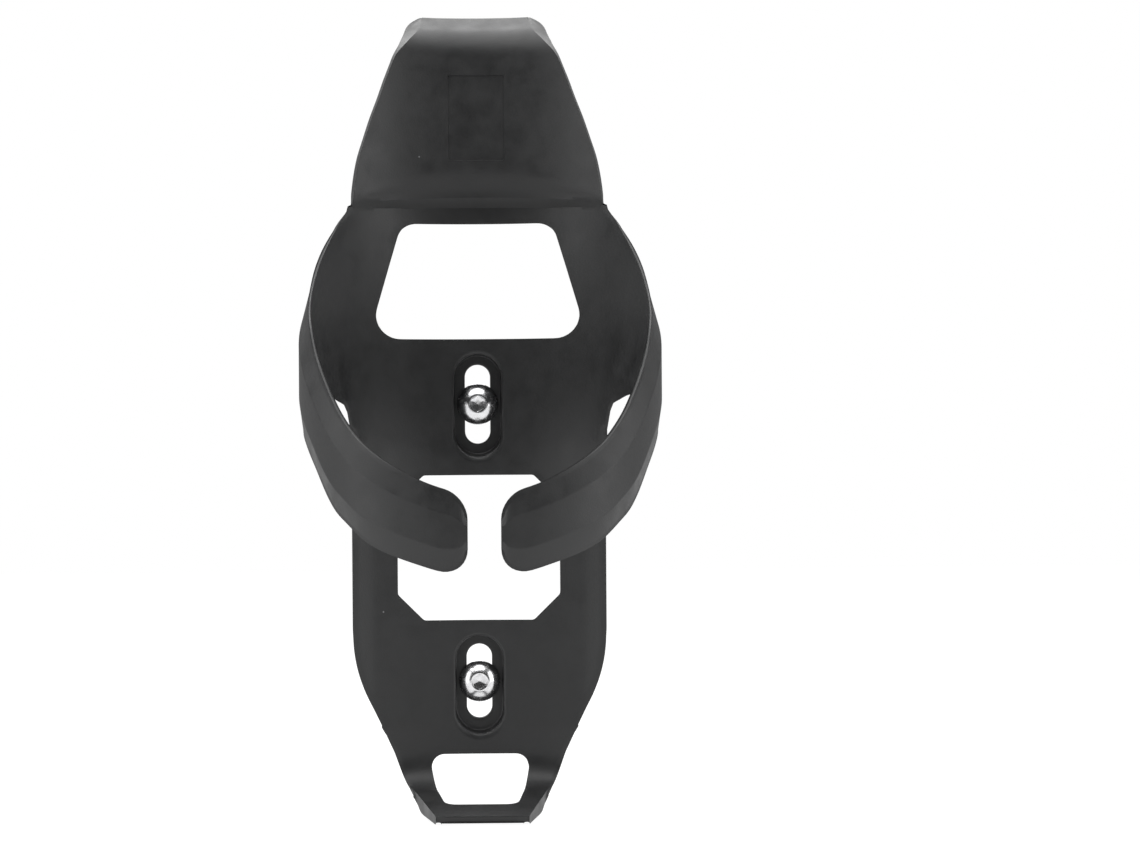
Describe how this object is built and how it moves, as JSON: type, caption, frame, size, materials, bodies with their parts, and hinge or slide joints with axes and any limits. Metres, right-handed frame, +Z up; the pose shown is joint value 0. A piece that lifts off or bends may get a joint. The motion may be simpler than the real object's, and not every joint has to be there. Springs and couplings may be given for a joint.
{
  "type": "water bottle cage",
  "caption": "Black nylon bicycle bottle cage: slotted back plate, two wrap-round arms, top tab and bottom shelf, with button-head screws in its slots.",
  "frame": {"origin": "on the mounting plane (the back faces of the two bosses), halfway between the two slot centres", "axes": "+Z up along the bottle, +Y from the bottle to the bicycle tube, +X to the right seen from the bottle side"},
  "size_m": [0.0792, 0.0906, 0.1825],
  "materials": {
    "nylon": "satin black, fine moulded grain",
    "screw_steel": "bright zinc-plated steel"
  },
  "bodies": {
    "cage": {"cage_body": "nylon"},
    "upper_screw": {"upper_screw": "screw_steel"},
    "lower_screw": {"lower_screw": "screw_steel"}
  },
  "joints": [
    {"name": "upper_screw_slide", "type": "slide", "parent": "cage", "child": "upper_screw", "axis": [0, 0, 1], "range_m": [-0.0062, 0.0062]},
    {"name": "lower_screw_slide", "type": "slide", "parent": "cage", "child": "lower_screw", "axis": [0, 0, 1], "range_m": [-0.0058, 0.0058]}
  ]
}
